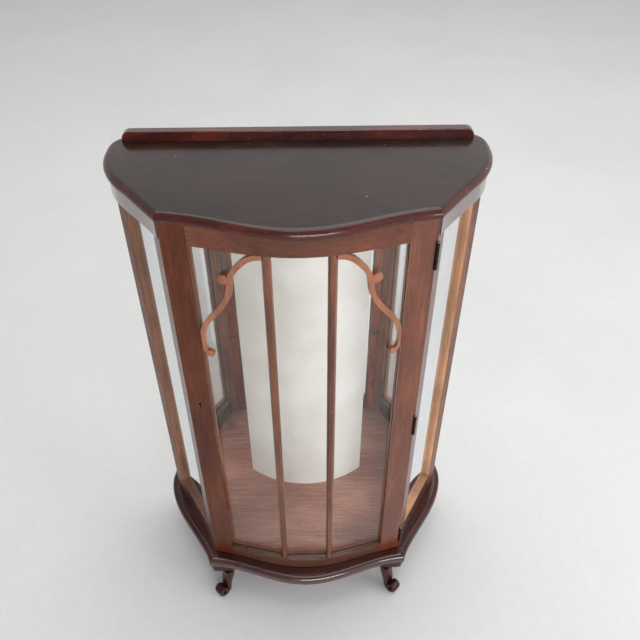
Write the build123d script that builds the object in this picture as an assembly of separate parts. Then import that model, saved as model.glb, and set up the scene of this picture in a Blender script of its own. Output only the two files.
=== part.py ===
from build123d import *
import math
import os

os.makedirs("parts", exist_ok=True)

# ---------------------------------------------------------------- driving dimensions (mm)
# The back plane is at y = 0 and the front is towards -y while the pieces are drawn;
# everything is shifted by Y_SHIFT when written so that the origin is under the centre.
BASE_DEPTH = 330.0          # back plane to the front of the base moulding
Y_SHIFT = BASE_DEPTH / 2

FOOT_H = 100.0              # ground to the underside of the base moulding
BASE_T = 27.0               # base moulding thickness
BASE_HALF_W = 346.0         # widest half width of the base moulding
BASE_CORNER = (228.0, -278.0)
BASE_TOP = FOOT_H + BASE_T  # 127

FLOOR_T = 8.0
SIDE_RAIL_H = 60.0
UNDER_TOP = 1035.0          # underside of the top board
TOP_T = 17.0
TOP_Z = UNDER_TOP + TOP_T   # 1052
TOP_CORNER = (217.0, -257.5)
TOP_BOW = 54.5
GALLERY_H = 18.0
GALLERY_T = 15.0
GALLERY_SET = 2.0              # depth of the rebate that the gallery rail is let into
GALLERY_HALF = 309.0
FRIEZE_H = 35.0
FRIEZE_INSET = 5.0

# carcass: front arris, and the outer corner of the back post
AX, AY = 215.0, -250.0
BX, BY = 326.0, -58.0
FRAME_T = 22.0              # thickness of the canted side frames
FRONT_STILE_W = 27.0
BACK_STILE_W = 38.0
BACK_BOARD_T = 6.0
MIRROR_Y = -20.0            # front face of the mirrors
MIRROR_T = 3.0
POST_IN = 300.0             # inner face of the back posts

# side glazing
SIDE_GLASS_DEPTH = 11.0     # outer frame face to the outer face of the glass
GLASS_T = 3.0
BEAD_W = 8.0

# door
DOOR_Z1 = BASE_TOP + 1.5
DOOR_Z2 = UNDER_TOP - 1.2
DOOR_OPEN_Z1 = 158.0
DOOR_OPEN_Z2 = 997.0
DOOR_BOW = 48.0
STILE_IN = 172.0            # half width of the door opening
BAR_X = 50.5
BAR_W = 10.5
REBATE = 6.0
DOOR_GLASS_SET = 10.0       # front of the door to the glass
DOOR_BACK_T = 22.0
MITRE_GAP = 0.6

# hinges
HINGE_Z = (155.0, 537.0, 939.0)
HINGE_L = 51.0
KNUCKLE_R = 3.0
PIN_R = 1.25
PIN_BORE = 1.30
LEAF_W = 19.0
LEAF_T = 1.2

# lock
LOCK_Z = 640.0
LOCK_X = -193.0
BOLT_TRAVEL = 6.0

# display fittings
PEG_Z = (419.0, 724.0)
PEG_R = 3.2
PANEL_HALF = 137.0
PANEL_BOW = 49.0

PARTS = {}


# ---------------------------------------------------------------- helpers
def prism(pts, z1, z2):
    face = make_face(Polyline(*[(p[0], p[1]) for p in pts], close=True))
    return Pos(0, 0, z1) * extrude(face, z2 - z1)


def prism_edges(edges, z1, z2):
    face = make_face(Wire(edges))
    return Pos(0, 0, z1) * extrude(face, z2 - z1)


def mirrored(shape):
    return mirror(shape, about=Plane.YZ)


def solid_of(shape):
    s = shape.solids()
    return s[0] if len(s) == 1 else Compound(s)


def emit(name, shape):
    moved = Pos(0, Y_SHIFT, 0) * shape
    sol = moved.solids()
    out = sol[0] if len(sol) == 1 else Compound(children=list(sol))
    PARTS[name] = out
    export_step(out, f"parts/{name}.step")


def safe_fillet(shape, pick, radii):
    for r in radii:
        try:
            out = fillet(pick(shape), r)
            if out.is_valid and out.volume > 0.5 * shape.volume:
                return out
        except Exception:
            continue
    return shape


def safe_chamfer(shape, pick, sizes):
    for r in sizes:
        try:
            out = chamfer(pick(shape), r)
            if out.is_valid and out.volume > 0.5 * shape.volume:
                return out
        except Exception:
            continue
    return shape


def bell(u, w):
    return w * (1 - u * u) + (1 - w) * math.cos(math.pi * u / 2) ** 2


def bow_points(half, y0, sag, w, x1, x2, n):
    pts = []
    for i in range(n):
        x = x1 + (x2 - x1) * i / (n - 1)
        pts.append((x, y0 - sag * bell(x / half, w)))
    return pts


# side frame directions, right-hand side
_L = math.hypot(BX - AX, BY - AY)
UX, UY = (BX - AX) / _L, (BY - AY) / _L       # along the side, front to back
NX, NY = UY, -UX                              # outward normal of the side


def side_pt(s, d):
    """Point at distance s behind the front arris and depth d inside the outer face."""
    return (AX + UX * s - NX * d, AY + UY * s - NY * d)


# mitre direction at the front arris, halfway between the door face and the side face
_mx, _my = -1 + UX, 0 + UY
_ml = math.hypot(_mx, _my)
MX, MY = _mx / _ml, _my / _ml
QX, QY = MY, -MX                               # unit normal of the mitre, towards the post


def mitre_pt(t, q):
    return (AX + MX * t + QX * q, AY + MY * t + QY * q)


# hinge axis, just proud of the arris on the line of the mitre
HX, HY = mitre_pt(-1.6, MITRE_GAP / 2)


# ---------------------------------------------------------------- base
base_side = [(341, 0), (345.2, -22), (345.6, -48), (340.5, -75), (329, -107), (311, -141),
             (287, -178), (261, -216), (240, -250), BASE_CORNER]
base_front = bow_points(BASE_CORNER[0], BASE_CORNER[1], BASE_DEPTH + BASE_CORNER[1], 0.12,
                        BASE_CORNER[0], -BASE_CORNER[0], 15)
base_edges = [
    Spline(*base_side),
    Spline(*base_front),
    Spline(*[(-x, y) for x, y in reversed(base_side)]),
    Line((-341, 0), (341, 0)),
]
base_board = prism_edges(base_edges, FOOT_H, BASE_TOP)


def outer_edges(shape, z, ymax=-0.5):
    return [e for e in shape.edges()
            if abs(e.center().Z - z) < 0.01 and e.bounding_box().min.Y < ymax
            and abs(e.bounding_box().max.Z - e.bounding_box().min.Z) < 0.01]


base_board = safe_fillet(base_board, lambda s: outer_edges(s, BASE_TOP), (11, 9, 7, 5))
base_board = safe_fillet(base_board, lambda s: outer_edges(s, FOOT_H), (9, 7, 5, 3))

IN_B = (292.0, -30.0)
IN_C = (190.0, -236.0)
inner = prism([(IN_B[0], IN_B[1]), (IN_B[0], -72), IN_C, (-IN_C[0], IN_C[1]), (-IN_B[0], -72),
               (-IN_B[0], IN_B[1])], FOOT_H - 1, BASE_TOP + 1)
ring = base_board - inner
_k = 2.4
far = (IN_C[0] + (BASE_CORNER[0] - IN_C[0]) * _k, IN_C[1] + (BASE_CORNER[1] - IN_C[1]) * _k)
front_zone = prism([IN_C, far, (0, -700), (-far[0], far[1]), (-IN_C[0], IN_C[1]), (0, IN_C[1] + 30)],
                   FOOT_H - 1, BASE_TOP + 1)
back_zone = prism([(-400, -30), (400, -30), (400, 10), (-400, 10)], FOOT_H - 1, BASE_TOP + 1)
right_zone = prism([IN_C, far, (600, far[1]), (600, -30), (200, -30), (150, -150)], FOOT_H - 1, BASE_TOP + 1)
emit("base_front_moulding", ring & front_zone)
emit("base_back_rail", ring & back_zone)
base_side_r = ring & right_zone
emit("base_side_moulding_right", base_side_r)
emit("base_side_moulding_left", mirrored(base_side_r))

# ---------------------------------------------------------------- floor of the display space
g = 0.0
floor_pts = [(POST_IN, -BACK_BOARD_T), side_pt(_L - 27.5, FRAME_T), side_pt(0, FRAME_T)]
fx0, fy0 = side_pt(6, FRAME_T)
FLOOR_FRONT, LIP_CORNER = -230.8, 168.0
floor_poly = [
    (POST_IN, -BACK_BOARD_T), (POST_IN, side_pt(_L, FRAME_T)[1] - 0.0),
    side_pt(14.1, FRAME_T), (LIP_CORNER, FLOOR_FRONT), (-LIP_CORNER, FLOOR_FRONT),
    (-side_pt(14.1, FRAME_T)[0], side_pt(14.1, FRAME_T)[1]),
    (-POST_IN, side_pt(_L, FRAME_T)[1] - 0.0), (-POST_IN, -BACK_BOARD_T)]

# ---------------------------------------------------------------- front posts (canted)
post_w = [side_pt(0.0, 0.0), side_pt(FRONT_STILE_W, 0.0), side_pt(FRONT_STILE_W, FRAME_T),
          side_pt(9.0, FRAME_T), mitre_pt(FRAME_T / math.sin(math.radians(60)), MITRE_GAP)]
post_poly = [mitre_pt(0.35, MITRE_GAP), side_pt(FRONT_STILE_W, 0.0), side_pt(FRONT_STILE_W, FRAME_T),
             mitre_pt(FRAME_T / math.sin(math.radians(60)), MITRE_GAP)]
front_post = prism(post_poly, BASE_TOP, UNDER_TOP)
# rebate for the side glass and its bead, on the inside of the stile edge
glass_rebate = prism([side_pt(FRONT_STILE_W - REBATE, SIDE_GLASS_DEPTH),
                      side_pt(FRONT_STILE_W + 2, SIDE_GLASS_DEPTH),
                      side_pt(FRONT_STILE_W + 2, FRAME_T + 1),
                      side_pt(FRONT_STILE_W - REBATE, FRAME_T + 1)],
                     BASE_TOP + SIDE_RAIL_H - REBATE, UNDER_TOP - FRIEZE_H + REBATE)
front_post = front_post - glass_rebate

# back posts: canted stile face, square return to the back
bs = _L - BACK_STILE_W
inner_t = (POST_IN - side_pt(0, FRAME_T)[0]) / UX
back_post = prism([(BX, 0), (BX, BY), side_pt(bs, 0), side_pt(bs, FRAME_T),
                   side_pt(inner_t, FRAME_T), (POST_IN, -BACK_BOARD_T), (POST_IN + 14, -BACK_BOARD_T),
                   (POST_IN + 14, 0)], BASE_TOP, UNDER_TOP)
back_rebate = prism([side_pt(bs - 2, SIDE_GLASS_DEPTH), side_pt(bs + REBATE, SIDE_GLASS_DEPTH),
                     side_pt(bs + REBATE, FRAME_T + 1), side_pt(bs - 2, FRAME_T + 1)],
                    BASE_TOP + SIDE_RAIL_H - REBATE, UNDER_TOP - FRIEZE_H + REBATE)
back_post = back_post - back_rebate

# side rails between the posts
RAIL_TOP = BASE_TOP + SIDE_RAIL_H
TOP_RAIL_Z = UNDER_TOP - FRIEZE_H


def side_rail(z1, z2, rebate_z1, rebate_z2):
    rail = prism([side_pt(FRONT_STILE_W, 0), side_pt(bs, 0), side_pt(bs, FRAME_T),
                  side_pt(FRONT_STILE_W, FRAME_T)], z1, z2)
    cut = prism([side_pt(FRONT_STILE_W - 1, SIDE_GLASS_DEPTH), side_pt(bs + 1, SIDE_GLASS_DEPTH),
                 side_pt(bs + 1, FRAME_T + 1), side_pt(FRONT_STILE_W - 1, FRAME_T + 1)],
                rebate_z1, rebate_z2)
    return rail - cut


bottom_rail = side_rail(BASE_TOP, RAIL_TOP, RAIL_TOP - REBATE, RAIL_TOP + 1)
top_rail = side_rail(TOP_RAIL_Z, UNDER_TOP, TOP_RAIL_Z - 1, TOP_RAIL_Z + REBATE)
emit("side_bottom_rail_right", bottom_rail)
emit("side_bottom_rail_left", mirrored(bottom_rail))
emit("side_top_rail_right", top_rail)
emit("side_top_rail_left", mirrored(top_rail))

# side glass, in the rebate from the inside
gs1, gs2 = FRONT_STILE_W - REBATE + 1, bs + REBATE - 1
gz1, gz2 = RAIL_TOP - REBATE + 1, TOP_RAIL_Z + REBATE - 1
side_glass = prism([side_pt(gs1, SIDE_GLASS_DEPTH), side_pt(gs2, SIDE_GLASS_DEPTH),
                    side_pt(gs2, SIDE_GLASS_DEPTH + GLASS_T), side_pt(gs1, SIDE_GLASS_DEPTH + GLASS_T)],
                   gz1, gz2)
emit("side_glass_right", side_glass)
emit("side_glass_left", mirrored(side_glass))


# light timber slips: a raw slip outside the glass on all four sides, and holding beads inside
def side_slip(s1, s2, d1, d2, z1, z2, chamfer_inner=None):
    return prism([side_pt(s1, d1), side_pt(s2, d1), side_pt(s2, d2), side_pt(s1, d2)], z1, z2)


so1, so2 = FRONT_STILE_W, bs
SLIP_W = 5.6                   # width of the rear upright slip
zo1, zo2 = RAIL_TOP, TOP_RAIL_Z
d1, d2 = 1.0, SIDE_GLASS_DEPTH
outer_slips = [
    side_slip(so1, so1 + 2.0, d1 + 1, d2, zo1, zo2),
    side_slip(so2 - SLIP_W, so2, d1, d2, zo1, zo2),
    side_slip(so1 + 2.0, so2 - SLIP_W, d1, d2, zo1, zo1 + 6.0),
    side_slip(so1 + 2.0, so2 - SLIP_W, d1, d2, zo2 - 5.0, zo2),
]
# chamfer the outer arris of the wide slips towards the glass
w1 = prism([side_pt(so2 - SLIP_W - 0.2, 0.5), side_pt(so2 - 1.2, 0.5), side_pt(so2 - SLIP_W - 0.2, 5.5)], zo1 - 1, zo2 + 1)
outer_slips[1] = outer_slips[1] - w1
emit("side_glazing_slips_right", Compound(children=[solid_of(s) for s in outer_slips]))
emit("side_glazing_slips_left", Compound(children=[solid_of(mirrored(s)) for s in outer_slips]))

di1, di2 = SIDE_GLASS_DEPTH + GLASS_T, FRAME_T
r = REBATE - 0.1
inner_beads = [
    side_slip(so1 - r, so1, di1, di2, gz1, gz2),
    side_slip(so2, so2 + r, di1, di2, gz1, gz2),
    side_slip(so1, so2, di1, di2, zo1 - r + 0.9, zo1),
    side_slip(so1, so2, di1, di2, zo2, zo2 + r - 0.9),
]
emit("side_inner_beads", Compound(children=[solid_of(s) for s in inner_beads]
                                  + [solid_of(mirrored(s)) for s in inner_beads]))

# ---------------------------------------------------------------- top board
top_side = [(322, 0), (329.5, -12), (333, -38), (332, -66), (327, -91), (317, -117), (304, -141),
            (276, -178.5), (247, -217.3), TOP_CORNER]
top_front = bow_points(TOP_CORNER[0], TOP_CORNER[1], TOP_BOW, 0.2, TOP_CORNER[0], -TOP_CORNER[0], 15)
top_edges = [
    Spline(*top_side),
    Spline(*top_front),
    Spline(*[(-x, y) for x, y in reversed(top_side)]),
    Line((-322, 0), (322, 0)),
]
top_board = prism_edges(top_edges, UNDER_TOP, TOP_Z)
top_board = safe_fillet(top_board, lambda s: outer_edges(s, TOP_Z), (11, 9, 7))
top_board = safe_fillet(top_board, lambda s: outer_edges(s, UNDER_TOP), (4.5, 3, 2))
# shallow rebate along the back edge that houses the gallery rail
top_board = top_board - Pos(0, -(GALLERY_T + 0.2) / 2 + 1, TOP_Z - GALLERY_SET / 2 + 1) * Box(
    2 * (GALLERY_HALF + 0.2), GALLERY_T + 0.2 + 2, GALLERY_SET + 2)
emit("top_board", top_board)

# gallery rail along the back of the top
gal = Pos(0, 0, 0) * extrude(
    Plane.XZ * make_face(Polyline((-GALLERY_HALF, TOP_Z - GALLERY_SET), (GALLERY_HALF, TOP_Z - GALLERY_SET), (GALLERY_HALF, TOP_Z + GALLERY_H),
                                  (-GALLERY_HALF, TOP_Z + GALLERY_H), close=True)), GALLERY_T)
gal = safe_fillet(gal, lambda s: [e for e in s.edges().filter_by(Axis.Y)
                                  if e.center().Z > TOP_Z + GALLERY_H - 1], (15, 12, 8))
gal = safe_fillet(gal, lambda s: [e for e in s.edges()
                                  if e.center().Y < -GALLERY_T + 0.5 and e.bounding_box().max.Z > TOP_Z + 2
                                  and not (e.bounding_box().min.Z < TOP_Z + 0.5
                                           and e.bounding_box().max.Z < TOP_Z + 0.5)], (2.0, 1.2, 0.8))
emit("gallery_rail", gal)

# side friezes, shaped like the top board and standing proud of the side frames
fr_out = [(327.6, -5), (328.2, -30), (327.6, -60), (322.8, -88), (312.8, -114), (299.5, -138)]
fr_line_end = side_pt(6.0, -1.6)
frieze_edges = [
    Spline(*fr_out),
    Spline((299.5, -138), (262, -186.5), (235, -222), fr_line_end),
    Line(fr_line_end, side_pt(6.0, 0)),
    Line(side_pt(6.0, 0), (BX, BY)),
    Line((BX, BY), (BX, -5)),
    Line((BX, -5), (327.6, -5)),
]
frieze = prism_edges(frieze_edges, UNDER_TOP - FRIEZE_H, UNDER_TOP)
emit("side_frieze_right", frieze)
emit("side_frieze_left", mirrored(frieze))

# ---------------------------------------------------------------- front top rail behind the door
ftr_y1, ftr_y2 = -226.5, -206.0
mxp = mitre_pt(FRAME_T / math.sin(math.radians(60)), MITRE_GAP)
ftr = prism([(-(mxp[0] - 1.0), ftr_y1), (mxp[0] - 1.0, ftr_y1), (mxp[0] - 1.0, ftr_y1 + 5),
             (mxp[0] + 3.5, ftr_y2), (-(mxp[0] + 3.5), ftr_y2), (-(mxp[0] - 1.0), ftr_y1 + 5)],
            UNDER_TOP - 30, UNDER_TOP)
front_post_full = front_post
ftr = ftr - front_post_full - mirrored(front_post_full)
emit("front_top_rail", ftr)

# door stops on the inner faces of the front posts
STOP_X = 192.0
_si = side_pt(FRONT_STILE_W, FRAME_T)
stop = prism([(STOP_X, -226.8), side_pt(14.0, FRAME_T), _si, (STOP_X, _si[1])],
             BASE_TOP + FLOOR_T, UNDER_TOP - 30)
stops_right = stop
stops_left = mirrored(stop)

# ---------------------------------------------------------------- hinges
Z_SPANS = [(z, z + HINGE_L) for z in HINGE_Z]


def leaf_poly(q0, q1, t0=0.0, t1=LEAF_W):
    return [mitre_pt(t0, q0), mitre_pt(t1, q0), mitre_pt(t1, q1), mitre_pt(t0, q1)]


def knuckle(z1, z2, bore=True):
    body = Pos(HX, HY, z1) * extrude(Circle(KNUCKLE_R), z2 - z1)
    if bore:
        body = body - Pos(HX, HY, z1 - 1) * extrude(Circle(PIN_BORE), z2 - z1 + 2)
    return body


frame_leaves, door_leaves, pins, frame_screws, door_screws = [], [], [], [], []
post_cuts, door_cuts = [], []
for z1, z2 in Z_SPANS:
    k = (z2 - z1) / 5.0
    cl = 0.15
    # frame leaf: knuckles 1, 3 and 5; door leaf: knuckles 2 and 4
    fl = prism(leaf_poly(MITRE_GAP, MITRE_GAP + LEAF_T), z1, z2)
    for i in (0, 2, 4):
        fl = fl + knuckle(z1 + i * k + (cl if i else 0), z1 + (i + 1) * k - (cl if i < 4 else 0), False)
        # web joining the knuckle to its leaf
        fl = fl + prism(leaf_poly(MITRE_GAP / 2, MITRE_GAP + LEAF_T, -1.6, 1.0),
                        z1 + i * k + (cl if i else 0), z1 + (i + 1) * k - (cl if i < 4 else 0))
    for i in (1, 3):
        fl = fl - Pos(HX, HY, z1 + i * k - cl) * extrude(Circle(KNUCKLE_R + 0.35), k + 2 * cl)
    fl = fl - Pos(HX, HY, z1 - 1) * extrude(Circle(PIN_BORE), HINGE_L + 2)
    dl = prism(leaf_poly(-LEAF_T, 0.0, 0.0), z1, z2)
    for i in (1, 3):
        dl = dl + knuckle(z1 + i * k + cl, z1 + (i + 1) * k - cl, False)
        dl = dl + prism(leaf_poly(-LEAF_T, MITRE_GAP / 2, -1.6, 1.0), z1 + i * k + cl, z1 + (i + 1) * k - cl)
    for i in (0, 2, 4):
        dl = dl - Pos(HX, HY, z1 + i * k - cl) * extrude(Circle(KNUCKLE_R + 0.35), k + 2 * cl)
    dl = dl - Pos(HX, HY, z1 - 1) * extrude(Circle(PIN_BORE), HINGE_L + 2)
    pin = Pos(HX, HY, z1 - 0.2) * extrude(Circle(PIN_R), HINGE_L + 0.4)
    pin = pin + Pos(HX, HY, z1 - 2.0) * extrude(Circle(2.4), 1.9)
    pin = pin + Pos(HX, HY, z2 + 0.1) * extrude(Circle(2.4), 1.9)
    # screws, two to a leaf, square to the mitre
    for zz in (z1 + 9.5, z2 - 9.5):
        for side, lst in ((1, frame_screws), (-1, door_screws)):
            q0 = MITRE_GAP if side > 0 else 0.0
            px, py = mitre_pt(11.5, q0)
            pl = Plane(origin=(px, py, zz), z_dir=(QX * side, QY * side, 0))
            head = pl * (Pos(0, 0, LEAF_T / 2) * Cone(2.6, 1.4, LEAF_T))
            # head is countersunk into the leaf; the shank runs into the wood
            shank = pl * (Pos(0, 0, LEAF_T + 4.0) * Cylinder(1.4, 8.0))
            slot = pl * (Pos(0, 0, 0.2) * Box(6.0, 0.7, 0.7))
            scr = (head + shank) - slot
            lst.append(scr)
            if side > 0:
                fl = fl - (head + shank)
            else:
                dl = dl - (head + shank)
            (post_cuts if side > 0 else door_cuts).append(shank)
    frame_leaves.append(fl)
    door_leaves.append(dl)
    pins.append(pin)
    # recesses in the wood: leaf housing and knuckle clearance
    house_f = prism(leaf_poly(MITRE_GAP - 1, MITRE_GAP + LEAF_T, -3.0), z1, z2)
    house_d = prism(leaf_poly(-LEAF_T, 1.0, -3.0), z1, z2)
    room = Pos(HX, HY, z1 - 2.6) * extrude(Circle(KNUCKLE_R + 0.55), HINGE_L + 5.2)
    post_cuts += [house_f, room]
    door_cuts += [house_d, room]

front_post_r = front_post
for c in post_cuts:
    front_post_r = front_post_r - c
emit("hinge_frame_leaves", Compound(children=[solid_of(s) for s in frame_leaves]))
emit("hinge_door_leaves", Compound(children=[solid_of(s) for s in door_leaves]))
emit("hinge_pins", Compound(children=[solid_of(s) for s in pins]))
emit("hinge_frame_screws", Compound(children=[solid_of(s) for s in frame_screws]))
emit("hinge_door_screws", Compound(children=[solid_of(s) for s in door_screws]))

# ---------------------------------------------------------------- door
FRONT_Y = AY
P1 = (STILE_IN, FRONT_Y - DOOR_BOW * bell(STILE_IN / AX, 0.5) + DOOR_GLASS_SET)
P2 = (BAR_X, FRONT_Y - DOOR_BOW * bell(BAR_X / AX, 0.5) + DOOR_GLASS_SET)
_fl = math.hypot(P2[0] - P1[0], P2[1] - P1[1])
FX, FY = (P2[0] - P1[0]) / _fl, (P2[1] - P1[1]) / _fl     # along the right-hand facet towards the bar
IX, IY = FY, -FX                                          # inward (towards the back)
if IY < 0:
    IX, IY = -IX, -IY


def facet_pt(s, off):
    """Point s along the right-hand facet from the stile, off behind the glass front."""
    return (P1[0] + FX * s + IX * off, P1[1] + FY * s + IY * off)


STILE_BACK_O = mitre_pt(FRAME_T / math.sin(math.radians(60)), 0.0)
back_in = (STILE_IN, P1[1] + (DOOR_BACK_T - DOOR_GLASS_SET) + 6.0)


def bow_edge(x1, x2, n=7):
    return Spline(*bow_points(AX, FRONT_Y, DOOR_BOW, 0.5, x1, x2, n))


bow_in_y = FRONT_Y - DOOR_BOW * bell(STILE_IN / AX, 0.5)
stile = prism_edges([
    bow_edge(AX, STILE_IN),
    Line((STILE_IN, bow_in_y), back_in),
    Line(back_in, STILE_BACK_O),
    Line(STILE_BACK_O, (AX, AY)),
], DOOR_Z1, DOOR_Z2)
stile_rebate = prism([facet_pt(-REBATE, 0), facet_pt(3, 0), facet_pt(3, 40), facet_pt(-REBATE, 40)],
                     DOOR_OPEN_Z1 - REBATE, DOOR_OPEN_Z2 + REBATE)
stile = stile - stile_rebate
stile_r = stile
for c in door_cuts:
    stile_r = stile_r - c
stile_l = mirrored(stile)

# lock on the left stile: case let in from the back, keyhole through to the front
keyhole_y0 = FRONT_Y - DOOR_BOW * bell(LOCK_X / AX, 0.5)
keyhole = Plane(origin=(LOCK_X, -240, LOCK_Z), x_dir=(1, 0, 0), z_dir=(0, -1, 0))
kh = extrude(keyhole * Circle(2.6), 40) + extrude(keyhole * (Pos(0, -4.5) * Rectangle(2.2, 9)), 40)

# the bolt rests fully inside the stile and slides towards the post (-x)
BOLT_Y1, BOLT_Y2 = -238.4, -233.4
BOLT_H = 12.0
BOLT_Z = LOCK_Z + 9.5


def mitre_x_at(y):
    return -(AX + MX * ((y - AY) / MY))


bolt_tip_rest = mitre_x_at(BOLT_Y2) + 1.0
bolt_len = 21.0
bolt_cy = (BOLT_Y1 + BOLT_Y2) / 2
bolt = Pos(bolt_tip_rest + bolt_len / 2, bolt_cy, BOLT_Z) * Box(bolt_len, BOLT_Y2 - BOLT_Y1, BOLT_H)
bolt = bolt - Pos(LOCK_X + 3.0, bolt_cy, BOLT_Z - BOLT_H / 2 + 1.2) * Box(5, 10, 2.4)
bolt_way = Pos(bolt_tip_rest + bolt_len + 0.3 - 30, bolt_cy, BOLT_Z) * Box(
    60, BOLT_Y2 - BOLT_Y1 + 0.6, BOLT_H + 0.6)

CASE_X1, CASE_X2 = -206.5, -180.5
CASE_Y1, CASE_Y2 = -243.0, -231.2
case = Pos((CASE_X1 + CASE_X2) / 2, (CASE_Y1 + CASE_Y2) / 2, LOCK_Z + 2) * Box(CASE_X2 - CASE_X1, CASE_Y2 - CASE_Y1, 46)
case_seat = Pos((CASE_X1 + CASE_X2) / 2, (CASE_Y1 - 220) / 2, LOCK_Z + 2) * Box(CASE_X2 - CASE_X1, -220 - CASE_Y1, 46)
case = case - bolt_way - Pos(LOCK_X, (CASE_Y1 - 239.2) / 2 - 1, LOCK_Z) * Rot(90, 0, 0) * Cylinder(4.4, -239.2 - CASE_Y1 + 2)
case = case + Plane(origin=(LOCK_X, -239.4, LOCK_Z), x_dir=(1, 0, 0), z_dir=(0, -1, 0)) * (Pos(0, 0, 4.5) * Cylinder(1.1, 9.0))
stile_l = stile_l - case_seat - bolt_way - kh
lock_trim = mirrored(prism([mitre_pt(-5, 0), mitre_pt(40, 0), mitre_pt(40, 60), mitre_pt(-5, 60)], LOCK_Z - 60, LOCK_Z + 60))
case = case - lock_trim
case = max(case.solids(), key=lambda q: q.volume)
emit("lock_case", case)
emit("lock_bolt", bolt)

# oval keyhole lining let into the front of the stile
esc_plane = Plane(origin=(LOCK_X, keyhole_y0 + 3.2, LOCK_Z - 1.5), x_dir=(1, 0, 0), z_dir=(0, -1, 0))
esc_outer = extrude(esc_plane * Ellipse(5.2, 8.4), 3.0)
esc = esc_outer - kh
stile_l = stile_l - extrude(esc_plane * Ellipse(5.2, 8.4), 8.0)
emit("keyhole_lining", esc)
emit("door_stile_right", stile_r)
emit("door_stile_left", stile_l)

# strike recess and plate in the left post
strike_zone = Pos(bolt_tip_rest - 6.0, bolt_cy, BOLT_Z) * Box(14.0, BOLT_Y2 - BOLT_Y1 + 1.6, BOLT_H + 1.6)
front_post_l = mirrored(front_post)
strike_l = mirrored(prism([mitre_pt(8.0, MITRE_GAP), mitre_pt(23.5, MITRE_GAP), mitre_pt(23.5, MITRE_GAP + 1.0),
                           mitre_pt(8.0, MITRE_GAP + 1.0)], LOCK_Z - 16, LOCK_Z + 24))
front_post_l = front_post_l - strike_l - strike_zone
strike = strike_l - strike_zone
emit("strike_plate", strike)
emit("front_post_right", front_post_r)
emit("front_post_left", front_post_l)
emit("back_post_right", back_post)
emit("back_post_left", mirrored(back_post))

# door stops (after the lock, so that the strike side stays clear)
emit("door_stops", Compound(children=[stops_right.solids()[0], stops_left.solids()[0]]))


# rails: bowed front, faceted back
def rail_outline():
    b1 = facet_pt(0, DOOR_BACK_T - DOOR_GLASS_SET)
    b2 = (BAR_X, P2[1] + DOOR_BACK_T - DOOR_GLASS_SET)
    b1 = (STILE_IN, P1[1] + DOOR_BACK_T - DOOR_GLASS_SET)
    return [
        Spline(*bow_points(AX, FRONT_Y, DOOR_BOW, 0.5, STILE_IN, -STILE_IN, 15)),
        Line((-STILE_IN, bow_in_y), (-b1[0], b1[1])),
        Line((-b1[0], b1[1]), (-b2[0], b2[1])),
        Line((-b2[0], b2[1]), (b2[0], b2[1])),
        Line((b2[0], b2[1]), (b1[0], b1[1])),
        Line((b1[0], b1[1]), (STILE_IN, bow_in_y)),
    ]


behind_glass = [(STILE_IN + 30, P1[1] - (30 * FY / FX)), P1, P2, (-P2[0], P2[1]), (-P1[0], P1[1]),
                (-STILE_IN - 30, P1[1] - (30 * FY / FX)), (-STILE_IN - 30, -150), (STILE_IN + 30, -150)]
bottom = prism_edges(rail_outline(), DOOR_Z1, DOOR_OPEN_Z1) - prism(behind_glass, DOOR_OPEN_Z1 - REBATE, DOOR_OPEN_Z1 + 2)
top = prism_edges(rail_outline(), DOOR_OPEN_Z2, DOOR_Z2) - prism(behind_glass, DOOR_OPEN_Z2 - 2, DOOR_OPEN_Z2 + REBATE)
emit("door_bottom_rail", bottom)
emit("door_top_rail", top)

# glazing bars: a face moulding in front of the glass and a fin between the panes
bar_front_y = FRONT_Y - DOOR_BOW * bell(BAR_X / AX, 0.5)
bar = prism([(BAR_X, P2[1]), (BAR_X - BAR_W / 2, P2[1]), (BAR_X - BAR_W / 2, bar_front_y + 2.2), (BAR_X - BAR_W / 2 + 2, bar_front_y + 0.1),
             (BAR_X + BAR_W / 2 - 2, bar_front_y + 0.4), (BAR_X + BAR_W / 2, bar_front_y + 2.4),
             (BAR_X + BAR_W / 2, facet_pt(_fl - BAR_W / 2 / abs(FX), 0)[1])], DOOR_OPEN_Z1, DOOR_OPEN_Z2)
fin = prism([(BAR_X - 1.2, P2[1] - 0.5), (BAR_X + 1.2, P2[1] - 0.5), (BAR_X + 1.2, P2[1] + 12), (BAR_X - 1.2, P2[1] + 12)],
            DOOR_OPEN_Z1, DOOR_OPEN_Z2)
bar = bar + fin
emit("glazing_bar_right", bar)
emit("glazing_bar_left", mirrored(bar))

# door glass
pane_side = prism([facet_pt(-REBATE + 1, 0.05), facet_pt(_fl - 2.7, 0.05), facet_pt(_fl - 2.7, GLASS_T),
                   facet_pt(-REBATE + 1, GLASS_T)], DOOR_OPEN_Z1 - REBATE + 1, DOOR_OPEN_Z2 + REBATE - 1)
pane_mid = prism([(-BAR_X + 2.2, P2[1] + 0.05), (BAR_X - 2.2, P2[1] + 0.05), (BAR_X - 2.2, P2[1] + GLASS_T),
                  (-BAR_X + 2.2, P2[1] + GLASS_T)], DOOR_OPEN_Z1 - REBATE + 1, DOOR_OPEN_Z2 + REBATE - 1)
emit("door_glass_right", pane_side)
emit("door_glass_left", mirrored(pane_side))
emit("door_glass_centre", pane_mid)

# beads behind the door glass
bd = []
z1, z2 = DOOR_OPEN_Z1 - REBATE + 0.2, DOOR_OPEN_Z2 + REBATE - 0.2
oz1, oz2 = DOOR_OPEN_Z1, DOOR_OPEN_Z2


def fstrip(s1, s2, o1, o2, za, zb):
    return prism([facet_pt(s1, o1), facet_pt(s2, o1), facet_pt(s2, o2), facet_pt(s1, o2)], za, zb)


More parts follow.
